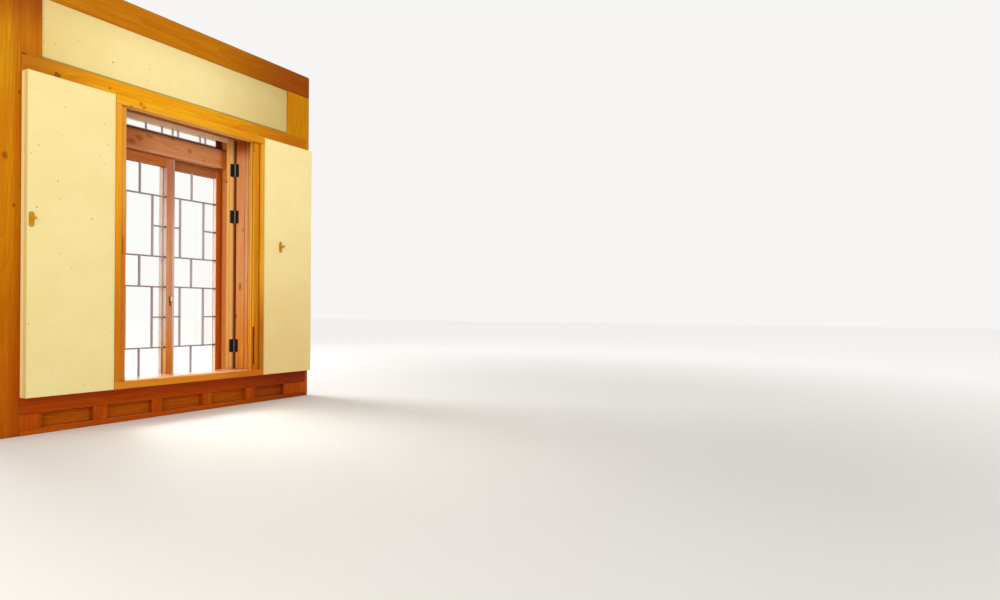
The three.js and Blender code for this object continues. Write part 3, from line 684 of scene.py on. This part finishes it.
def addBoard(shape, low, high, ease, steps=2):
    # an eased board between two corners
    corners = [(x, y, z) for x in (low[0], high[0]) for y in (low[1], high[1]) for z in (low[2], high[2])]
    verts = [shape.verts.new(corner) for corner in corners]
    faces = ((0, 1, 3, 2), (4, 6, 7, 5), (0, 4, 5, 1), (2, 3, 7, 6), (0, 2, 6, 4), (1, 5, 7, 3))
    made = [shape.faces.new([verts[index] for index in face]) for face in faces]
    edges = list(dict.fromkeys(edge for face in made for edge in face.edges))
    bmesh.ops.bevel(shape, geom=edges, offset=ease, segments=steps, affect="EDGES", profile=0.5)


def addTurned(shape, centre, axis, profile, sides):
    # a turned form: the profile gives radius and height along the axis, from its foot to its tip
    turn = Vector(axis).normalized().to_track_quat("Z", "Y").to_matrix()
    rings = []
    for radius, height in profile:
        spots = [2 * pi * index / sides for index in range(sides if radius else 1)]
        points = [Vector((radius * cos(spot), radius * sin(spot), height)) for spot in spots]
        rings.append([shape.verts.new(Vector(centre) + turn @ point) for point in points])
    joinRows(shape, rings)


def addPrism(shape, outline, axis, ends, ease):
    # an outline drawn out along an axis and eased: (y, z) for x, and (x, z) for y
    rows = []
    for end in ends:
        points = [(end, a, b) if axis == "x" else (a, end, b) for a, b in outline]
        rows.append([shape.verts.new(point) for point in points])
    faces = joinRows(shape, rows)
    bmesh.ops.recalc_face_normals(shape, faces=faces)
    sharp = radians(meshSettings["easeOver"])
    edges = dict.fromkeys(edge for face in faces for edge in face.edges)
    edges = [edge for edge in edges if edge.calc_face_angle(0) > sharp]
    bmesh.ops.bevel(shape, geom=edges, offset=ease, segments=2, affect="EDGES", profile=0.5)


def roundEnded(x, z, width, height, steps):
    # outline of an upright plate with round ends
    half = width / 2
    outline = []
    for turn, offset in ((0, height / 2 - half), (pi, half - height / 2)):
        for step in range(steps + 1):
            angle = turn + pi * step / steps
            outline.append((x + half * cos(angle), z + offset + half * sin(angle)))
    return outline


def setOut(name, data):
    item = bpy.data.objects.new(name, data)
    scene.collection.objects.link(item)
    return item


def setPiece(name, shape, finishName, slotName, *standsFor):
    bmesh.ops.recalc_face_normals(shape, faces=shape.faces)
    mesh = bpy.data.meshes.new(name)
    shape.to_mesh(mesh)
    shape.free()
    mesh.shade_smooth()
    mesh.set_sharp_from_angle(angle=radians(meshSettings["smoothUnder"]))
    mesh.materials.append(finishes[finishName])
    piece = setOut(name, mesh)
    piece.modifiers.new("flatFaces", "WEIGHTED_NORMAL").keep_sharp = True
    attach(piece, "root")
    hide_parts(*standsFor)
    return piece


# timbers, trim and walls that keep their solids: how far their arrises are softened, and their nodes

kept = dict(
    postLeft=(0.0012, "post_left"), postRight=(0.0012, "post_right"), plate=(0.0015, "wall_plate"),
    headRail=(0.001, "head_rail"), batten=(0.0004, "leaf_batten_left", "leaf_batten_right"),
    dadoRail=(0.001, "dado_top_rail"), dadoFoot=(0.001, "dado_bottom_rail"),
    dadoStile=(0.0008, *[f"dado_stile_{number}" for number in range(1, 7)]),
    dadoBoard=(0.0008, "dado_board_inner", "dado_board_outer"), casingLeft=(0.0006, "casing_left"),
    casingRight=(0.0006, "casing_right"), casingHead=(0.0006, "casing_head"),
    casingSill=(0.0006, "casing_sill"), liningSide=(0.0005, "lining_left", "lining_right"),
    liningHead=(0.0004, "lining_head"), track=(0.0004, "sill_track", "head_track"),
    sillBoard=(0.0004, "inner_sill"),
    leafLeft=(0.0005, "sliding_leaf_left_front", "sliding_leaf_left_back"),
    leafRight=(0.0005, "sliding_leaf_right_front", "sliding_leaf_right_back"),
    jamb=(0.0004, "frame_jamb_left", "frame_jamb_right"), frameRail=(0.0008, "frame_head", "frame_sill"),
    bar=(0.001, "transom_bar"), meetingStrip=(0.0004, "meeting_strip"),
    transomBars=(0.0, "transom_lattice"), plaster=(0.0, "infill_wall_left", "infill_wall_right"),
    glass=(0.0, "sash_glass_left", "sash_glass_right", "transom_glass"),
)


def dress(node, finishName, soften):
    solid = nodes[node]
    solid.data.materials.clear()
    solid.data.materials.append(finishes[finishName])
    if soften:
        solid.modifiers.new("weld", "WELD").merge_threshold = meshSettings["weld"]
        bevel = solid.modifiers.new("arris", "BEVEL")
        bevel.width = soften
        bevel.segments = 2
        bevel.limit_method = "ANGLE"
        bevel.angle_limit = radians(meshSettings["arrisOver"])


for finishName, (soften, *names) in kept.items():
    for node in names:
        dress(node, finishName, soften)
print("kept solids dressed")


# papered pocket covers: thin frames wrapped in paper, with the outer return in one piece

coverSettings = dict(
    front=-0.187, back=-0.179, returnBack=-0.1203, returnWidth=0.024, softEdge=0.0035, innerEdge=0.0012,
    backEdge=0.0008, returnEdge=0.001, ribPitch=(0.154, 0.308), sink=0.0007, edgeSteps=4, acrossSteps=30,
    heightSteps=84, finish={"left": "coverPaper", "right": "coverPaperRight"},
)


def paperedCover(side, plan):
    cover = f"pocket_cover_{side}"
    low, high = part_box(cover)
    sign = 1 if side == "left" else -1
    start, end = (low.x, high.x) if side == "left" else (high.x, low.x)
    inside = start + sign * plan["returnWidth"]
    front, back, returnBack = plan["front"], plan["back"], plan["returnBack"]
    corners = [
        ((start, returnBack), plan["returnEdge"]),
        ((start, front), plan["softEdge"]),
        ((end, front), plan["innerEdge"]),
        ((end, back), plan["backEdge"]),
        ((inside, back), 0),
        ((inside, returnBack), plan["returnEdge"]),
    ]
    outline = []
    for index, (corner, radius) in enumerate(corners):
        here = Vector(corner)
        if radius == 0:
            outline.append(here)
            continue
        before = (Vector(corners[index - 1][0]) - here).normalized()
        after = (Vector(corners[(index + 1) % len(corners)][0]) - here).normalized()
        for step in range(plan["edgeSteps"] + 1):
            angle = pi / 2 * step / plan["edgeSteps"]
            rounded = before * (1 - sin(angle)) + after * (1 - cos(angle))
            outline.append(here + rounded * radius)
        if index == 1:  # the broad front is divided, so that the paper can sink between the ribs
            first, last = outline[-1].copy(), Vector((end - sign * plan["innerEdge"], front))
            shares = [step / plan["acrossSteps"] for step in range(1, plan["acrossSteps"])]
            outline += [first.lerp(last, share) for share in shares]
    soft, steps = plan["softEdge"] / 2, plan["heightSteps"]
    inner = high.z - low.z - 2 * soft
    levels = [(low.z, soft), (low.z + soft * 0.3, soft * 0.3)]
    levels += [(low.z + soft + inner * step / steps, 0) for step in range(steps + 1)]
    levels += [(high.z - soft * 0.3, soft * 0.3), (high.z, soft)]
    pitchX, pitchZ = plan["ribPitch"]
    shape = bmesh.new()
    rows = []
    for z, inset in levels:
        row = []
        for x, y in outline:
            if abs(y - front) < 1e-6:
                across = abs(sin(pi * (x - start) / pitchX))
                height = abs(sin(pi * (z - low.z) / pitchZ))
                y += plan["sink"] * sqrt(across * height) + inset
            row.append(shape.verts.new((x, y, z)))
        rows.append(row)
    joinRows(shape, rows)
    finishName = plan["finish"][side]
    setPiece(f"papered_cover_{side}", shape, finishName, "hanji_paper", cover, f"pocket_return_{side}")


for side in ("left", "right"):
    paperedCover(side, coverSettings)
print("papered covers made")


# the wall over the head rail: paper on the room side, floated lime outside, both a little uneven

wallSettings = dict(
    steps=(64, 14), roomSwell=0.0012, outerSwell=0.002,
    waves=((7.3, 2.1, 0), (-3.7, 4.1, 9)),  # along the wall, upwards and from face to face
    paperEnds=0.05,
)


def unevenWall(name, node, plan):
    low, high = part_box(node)
    stepsX, stepsZ = plan["steps"]
    shape = bmesh.new()
    sheets = []
    for face, swell in ((low.y, plan["roomSwell"]), (high.y, -plan["outerSwell"])):
        rows = []
        for k in range(stepsZ + 1):
            z = low.z + (high.z - low.z) * k / stepsZ
            row = []
            for i in range(stepsX + 1):
                x = low.x + (high.x - low.x) * i / stepsX
                waves = [sin(a * x + b * z + c * face) for a, b, c in plan["waves"]]
                row.append(shape.verts.new((x, face + swell * (2 + sum(waves)) / 4, z)))
            rows.append(row)
        sheets.append(rows)
        joinRows(shape, rows, closed=False)
    room, outer = sheets
    for end in (0, -1):
        joinRows(shape, ([row[end] for row in room], [row[end] for row in outer]), closed=False)
        joinRows(shape, (room[end], outer[end]), closed=False)
    piece = setPiece(name, shape, "wallPaper", "hanji_paper", node)
    piece.data.materials.append(finishes["plaster"])
    paperEnd = (low.y + high.y) / 2 - plan["paperEnds"]
    for polygon in piece.data.polygons:
        polygon.material_index = 0 if polygon.center.y < paperEnd else 1


unevenWall("papered_upper_wall", "upper_wall", wallSettings)
print("upper wall made")


# sashes: stiles, rails and muntins joined with pinned tenons, beads round the panes

sashSettings = dict(
    fronts={"left": 0.102, "right": 0.142}, thick=0.034, heights=(0.2053, 1.813),
    daylight={"left": (-0.368, 0.009), "right": (0.05, 0.458)}, daylightHeight=(0.242, 1.744),
    stiles={"left": (0.053, 0.049), "right": (0.049, 0.053)}, timberEase=0.0015, railSetBack=0.0001,
    gap=0.0002, muntin=(0.0105, 0.001, 0.017), muntinEase=0.0012, firstRow=0.451,
    rowPitch={"left": 0.2156, "right": 0.2176}, middleUpright=0.198, innerUpright=0.103,
    outerUpright=0.3015, bead=(0.011, 0.003), beadLap=0.009, beadEase=0.0008, beadShort=0.003,
    pin=((0.004, -0.004), (0.004, 0.0), (0.0032, 0.0004), (0, 0.0006)), pinSpread=0.012,
    finishes={"left": ("meetingStile", "rowLeft"), "right": ("sashStile", "rowRight")},
)


def latticeSash(side, plan):
    sign = -1 if side == "left" else 1
    front = plan["fronts"][side]
    back = front + plan["thick"]
    bottom, top = plan["heights"]
    x0, x1 = plan["daylight"][side]
    z0, z1 = plan["daylightHeight"]
    leftStile, rightStile = plan["stiles"][side]
    meeting = x1 if side == "left" else x0
    stiles, rails, uprights, rows, pins = (bmesh.new() for _ in range(5))
    gap, ease = plan["gap"], plan["timberEase"]
    railBack = back - plan["railSetBack"]
    addBoard(stiles, (x0 - leftStile, front, bottom), (x0, back, top), ease)
    addBoard(stiles, (x1, front, bottom), (x1 + rightStile, back, top), ease)
    addBoard(rails, (x0 + gap, front, z1), (x1 - gap, railBack, top), ease)
    addBoard(rails, (x0 + gap, front, bottom), (x1 - gap, railBack, z0), ease)
    width, near, far = plan["muntin"]
    near, far, half = front + near, front + far, width / 2

    def upright(offset, low, high):
        x = meeting + sign * offset
        addBoard(uprights, (x - half, near, low + half), (x + half, far, high - half), plan["muntinEase"])

    def row(fromOffset, toOffset, z):
        start, end = sorted((meeting + sign * fromOffset, meeting + sign * toOffset))
        addBoard(rows, (start + gap, near, z - half), (end - gap, far, z + half), plan["muntinEase"])

    span = x1 - x0
    inner, outer = plan["innerUpright"], plan["outerUpright"]
    lines = [plan["firstRow"] + step * plan["rowPitch"][side] for step in range(6)]
    for z in (lines[0], lines[2], lines[3], lines[5]):
        row(0, span, z)
    for z in (lines[1], lines[4]):
        row(0, inner - half, z)
        row(outer + half, span, z)
    for low, high in ((z0 - half, lines[0]), (lines[2], lines[3]), (lines[5], z1 + half)):
        upright(plan["middleUpright"], low, high)
    for low, high in ((lines[0], lines[2]), (lines[3], lines[5])):
        upright(inner, low, high)
        upright(outer, low, high)
    beadWidth, beadThick = plan["bead"]
    lap, short, ease = plan["beadLap"], plan["beadShort"], plan["beadEase"]
    beadFront = back - gap
    beadBack = beadFront + beadThick
    shown = beadWidth - lap
    for start, end in ((x0 - lap, x0 + shown), (x1 - shown, x1 + lap)):
        addBoard(stiles, (start, beadFront, z0 - lap), (end, beadBack, z1 + lap), ease)
    for start, end in ((z0 - lap, z0 + shown), (z1 - shown, z1 + lap)):
        addBoard(rails, (x0 + short, beadFront, start), (x1 - short, beadBack, end), ease)
    spread, topRail = plan["pinSpread"], (z1 + top) / 2
    for x in (x0 - leftStile / 2, x1 + rightStile / 2):
        for z in ((bottom + z0) / 2, topRail - spread, topRail + spread):
            addTurned(pins, (x, front, z), (0, -1, 0), plan["pin"], sides=12)
    stileFinish, rowFinish = plan["finishes"][side]
    pieces = {
        "sash_stiles": (stiles, stileFinish),
        "sash_rails": (rails, "sashRail"),
        "muntin_uprights": (uprights, "muntinUpright"),
        "muntin_rows": (rows, rowFinish),
        "sash_pins": (pins, "sashRail"),
    }
    for name, (shape, finishName) in pieces.items():
        setPiece(f"{name}_{side}", shape, finishName, "sash_wood", f"sash_{side}")


for side in ("left", "right"):
    latticeSash(side, sashSettings)
print("sashes made")


# screws with countersunk heads: two half discs with a slot between them, over a sunk disc

screwSettings = dict(
    sunk=0.0006, discThick=0.0007, headThick=0.0005, headShare=0.92, slot=0.35, steps=8,
)


def addScrew(shape, centre, axis, radius, slotTurn, plan=screwSettings):
    normal = Vector(axis).normalized()
    disc = ((radius, 0), (radius, plan["discThick"]))
    addTurned(shape, Vector(centre) - normal * plan["sunk"], normal, disc, sides=16)
    turn = normal.to_track_quat("Z", "Y").to_matrix() @ Matrix.Rotation(slotTurn, 3, "Z")
    reach, slot, steps = radius * plan["headShare"], plan["slot"], plan["steps"]
    for sign in (1, -1):
        angles = [pi * (step + slot) / (steps + 2 * slot) for step in range(steps + 1)]
        points = [(reach * cos(angle), sign * reach * sin(angle)) for angle in angles]
        heights = (0, plan["headThick"])
        rows = [[Vector(centre) + turn @ Vector((*point, height)) for point in points] for height in heights]
        joinRows(shape, [[shape.verts.new(corner) for corner in row] for row in rows])


# butt hinges: two leaves with round corners, slotted screws, five knuckles and a pin

hingeSettings = dict(
    knuckles=5, knuckleRadius=0.0065, knuckleGap=0.0004, knuckleEase=0.0005, pinShare=0.6, pinInset=0.001,
    pinFromFrame=0.0097, pinFromLining=0.0057, leafWidth=0.037, leafThick=0.0024, leafEase=0.0003,
    cornerRound=0.005, cornerSteps=6, spine=(0.0012, 0.0002), screwRadius=0.0042,
    # height, distance from the pin and turn of the slot
    screws=((-0.036, 0.026, 0.7), (0.0, 0.012, 1.8), (0.036, 0.026, 2.9)),
)


def leafOutline(height, plan):
    # a leaf with its far corners rounded: width from 0, height about 0
    half, radius = height / 2, plan["cornerRound"]
    near = plan["leafWidth"] - radius
    points = [(0, -half)]
    for step in range(plan["cornerSteps"] + 1):
        angle = pi / 2 * step / plan["cornerSteps"]
        points.append((near + radius * sin(angle), -half + radius - radius * cos(angle)))
    return points + [(x, -z) for x, z in reversed(points)]


def buttHinge(node, plan):
    low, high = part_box(node)
    sign = 1 if low.x > 0 else -1
    radius, thick = plan["knuckleRadius"], plan["leafThick"]
    pinX = (high.x if sign > 0 else low.x) - sign * radius
    frameFace = high.y
    pinY = frameFace - plan["pinFromFrame"]
    centreZ, height = (low.z + high.z) / 2, high.z - low.z
    shape = bmesh.new()
    # one leaf lies on the lining, across the wall, and the other on the frame's face
    liningFace = pinX + sign * plan["pinFromLining"]
    leaf = leafOutline(height, plan)
    liningLeaf = [(pinY - a, centreZ + b) for a, b in leaf]
    addPrism(shape, liningLeaf, "x", sorted((liningFace - sign * thick, liningFace)), plan["leafEase"])
    frameLeaf = [(pinX - sign * a, centreZ + b) for a, b in leaf]
    addPrism(shape, frameLeaf, "y", (frameFace - thick, frameFace), plan["leafEase"])
    spine, spineEase = plan["spine"]
    addBoard(shape, (pinX - spine, pinY, low.z), (pinX + spine, frameFace, high.z), spineEase)
    barrel = bmesh.new()
    count, gap, ease = plan["knuckles"], plan["knuckleGap"], plan["knuckleEase"]
    length = (height - gap * (count - 1)) / count
    knuckle = ((radius - ease, 0), (radius, ease), (radius, length - ease), (radius - ease, length))
    for index in range(count):
        addTurned(barrel, (pinX, pinY, low.z + index * (length + gap)), (0, 0, 1), knuckle, sides=20)
    pin, inset = radius * plan["pinShare"], plan["pinInset"]
    addTurned(barrel, (pinX, pinY, low.z + inset), (0, 0, 1), ((pin, 0), (pin, height - 2 * inset)), sides=16)
    screw = plan["screwRadius"]
    for offset, away, turn in plan["screws"]:
        z = centreZ + offset
        addScrew(shape, (liningFace - sign * thick, pinY - away, z), (-sign, 0, 0), screw, turn)
        addScrew(shape, (pinX - sign * away, frameFace - thick, z), (0, -1, 0), screw, -turn)
    setPiece(node.replace("hinge", "hinge_leaves"), shape, "enamel", "hinge_black", node)
    setPiece(node.replace("hinge", "hinge_barrel"), barrel, "barrel", "hinge_black", node)


for side in ("left", "right"):
    for level in ("top", "middle", "bottom"):
        buttHinge(f"hinge_{side}_{level}", hingeSettings)
print("hinges made")


# cover pegs: a rounded plate and a tapered arm that leans up

pegSettings = dict(
    plateThick=0.006, plateEase=0.0016, armRoot=0.0085, armTip=0.007, armSunk=0.003, armSides=16,
    armForm=((0.0, 1.0), (0.25, 1.0), (0.92, 0.86), (0.975, 0.8), (1.0, 0.6)), squareness=0.75, lean=0.14,
    reach=0.049,
)


def coverPeg(node, plan):
    low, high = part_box(node)
    x, z, back = (low.x + high.x) / 2, (low.z + high.z) / 2, high.y
    shape = bmesh.new()
    plate = roundEnded(x, z, high.x - low.x, high.z - low.z, steps=12)
    addPrism(shape, plate, "y", (back - plan["plateThick"], back), plan["plateEase"])
    lean, rise = sin(plan["lean"]), cos(plan["lean"])
    sides = plan["armSides"]
    rings = []
    for share, size in plan["armForm"]:
        reach = plan["reach"] * share
        middle = Vector((x, back - plan["armSunk"] - reach * rise, z + reach * lean))
        radius = (plan["armRoot"] * (1 - share) + plan["armTip"] * share) * size
        ring = []
        for step in range(sides):
            angle = 2 * pi * (step + 0.5) / sides
            across, upward = cos(angle), sin(angle)
            square = radius / max(abs(across), abs(upward)) ** plan["squareness"]
            corner = Vector((across, lean * upward, rise * upward))
            ring.append(shape.verts.new(middle + square * corner))
        rings.append(ring)
    joinRows(shape, rings)
    setPiece(node.replace("peg", "cover_peg"), shape, "peg", "casing_wood", node)


for side in ("left", "right"):
    coverPeg(f"peg_{side}", pegSettings)


# window latch: a round-ended plate, two screws, a turned boss and a lever

latchSettings = dict(
    plate=(0.016, 0.07, 0.002), plateEase=0.0005, screwRadius=0.0034,
    screws=((-0.026, 0.08), (0.026, 1.12)),
    boss=(
        (0.0069, 0), (0.0066, 0.002), (0.0048, 0.004), (0.0048, 0.009), (0.006, 0.0105), (0.0042, 0.0115),
        (0, 0.0118),
    ),
    lever=(0.009, 0.034, 0.008), leverLift=(0.001, 0.016), leverEase=0.0022,
)


def windowLatch(plan):
    low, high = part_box("window_latch")
    x, z = (low.x + high.x) / 2, (low.z + high.z) / 2
    width, height, thick = plan["plate"]
    face = high.y - thick
    outward = (0, -1, 0)
    shape = bmesh.new()
    addPrism(shape, roundEnded(x, z, width, height, steps=10), "y", (face, high.y), plan["plateEase"])
    for offset, turn in plan["screws"]:
        addScrew(shape, (x, face, z + offset), outward, plan["screwRadius"], turn)
    addTurned(shape, (x, face, z), outward, plan["boss"], sides=24)
    width, height, thick = plan["lever"]
    x, z = x + plan["leverLift"][0], z + plan["leverLift"][1]
    lever = bmesh.new()
    start, end = (x - width / 2, low.y, z - height / 2), (x + width / 2, low.y + thick, z + height / 2)
    addBoard(lever, start, end, plan["leverEase"], steps=3)
    setPiece("sash_latch", shape, "latch", "latch_brass", "window_latch")
    setPiece("latch_lever", lever, "lever", "latch_brass", "window_latch")


windowLatch(latchSettings)
print("pegs and latch made")


# camera, lights and floor

pictureSettings = dict(
    cameraPlace=(-3.082, -4.32, 0.7224), sightDirection=(0.8773, 0.4799, 0.0), roll=0.0067, lens=24.264,
    sensorWidth=36, shiftUp=0.0116, floorHalf=40.0, floorColour=(0.9, 0.885, 0.86), floorMottle=0.97,
    floorRoughness=0.7, floorFade=(2.0, 9.0), farGlow=0.48, glowThroughGlass=1.35,
    skyColour=(1.0, 0.985, 0.97, 1), seenSky=0.93, skyThroughGlass=1.04, skyFill=0.6, glossSky=0.06,
    # name, place, target, size, power and colour
    lights=(
        ("roomLight", (-0.1, -2.9, 2.9), (-0.1, 0, 1.5), 1.4, 26, (1.0, 0.95, 0.86)),
        ("fillLight", (-5.0, -3.2, 2.2), (0, 0, 1.2), 2.2, 88, (1.0, 0.96, 0.88)),
        ("dayLight", (1.0, 4.6, 4.4), (0.2, 1.4, 0.0), 3.0, 320, (1, 1, 1)),
    ),
)


def makeCamera(plan):
    sight, upright = Vector(plan["sightDirection"]).normalized(), Vector((0, 0, 1))
    level = sight.cross(upright).normalized()
    flat, tilt = cos(plan["roll"]), sin(plan["roll"])
    data = bpy.data.cameras.new("photoCamera")
    data.lens = plan["lens"]
    data.sensor_width = plan["sensorWidth"]
    data.shift_y = plan["shiftUp"]
    camera = setOut("photoCamera", data)
    turn = Matrix((level * flat + upright * tilt, upright * flat - level * tilt, -sight))
    camera.matrix_world = Matrix.Translation(plan["cameraPlace"]) @ turn.transposed().to_4x4()
    scene.camera = camera


def areaLight(name, place, target, size, power, colour):
    data = bpy.data.lights.new(name, "AREA")
    data.shape = "DISK"
    data.size = size
    data.energy = power
    data.color = colour
    lamp = setOut(name, data)
    lamp.location = place
    lamp.rotation_mode = "QUATERNION"
    lamp.rotation_quaternion = (Vector(place) - Vector(target)).to_track_quat("Z", "Y")
    lamp.visible_camera = False


def softSky(plan):
    # pale all round; the fill that it gives is softer than what is seen
    world = bpy.data.worlds.new("studio")
    world.use_nodes = True
    w = Wiring(world.node_tree)
    path = w.add("LightPath").outputs
    strength = w.blend(path["Is Glossy Ray"], plan["skyFill"], plan["glossSky"])
    strength = w.blend(path["Is Transmission Ray"], strength, plan["skyThroughGlass"])
    background = world.node_tree.nodes["Background"].inputs
    background["Color"].default_value = plan["skyColour"]
    w.feed(background["Strength"], w.blend(path["Is Camera Ray"], strength, plan["seenSky"]))
    scene.world = world


def paleFloor(plan):
    half = plan["floorHalf"]
    mesh = bpy.data.meshes.new("floor")
    corners = [(-half, -half, 0), (half, -half, 0), (half, half, 0), (-half, half, 0)]
    mesh.from_pydata(corners, [], [(0, 1, 2, 3)])
    floor = setOut("floor", mesh)
    w, shader, place = startMaterial("paleFloor")
    pale, mottled, glow = [
        (*[part * share for part in plan["floorColour"]], 1)
        for share in (1, plan["floorMottle"], plan["farGlow"])
    ]
    w.feed(shader["Base Color"], w.mix(w.noise(place, scale=1.5, detail=4), pale, mottled))
    away = w.step(w.vector("LENGTH", place), *plan["floorFade"])
    w.feed(shader["Emission Color"], w.mix(away, (0, 0, 0, 1), glow))
    through = w.add("LightPath").outputs["Is Transmission Ray"]
    w.feed(shader["Emission Strength"], w.blend(through, 1.0, plan["glowThroughGlass"]))
    shader["Roughness"].default_value = plan["floorRoughness"]
    mesh.materials.append(finishes["paleFloor"])


makeCamera(pictureSettings)
softSky(pictureSettings)
for light in pictureSettings["lights"]:
    areaLight(*light)
paleFloor(pictureSettings)
scene.view_settings.view_transform = "Standard"
print("camera, lights and floor set")
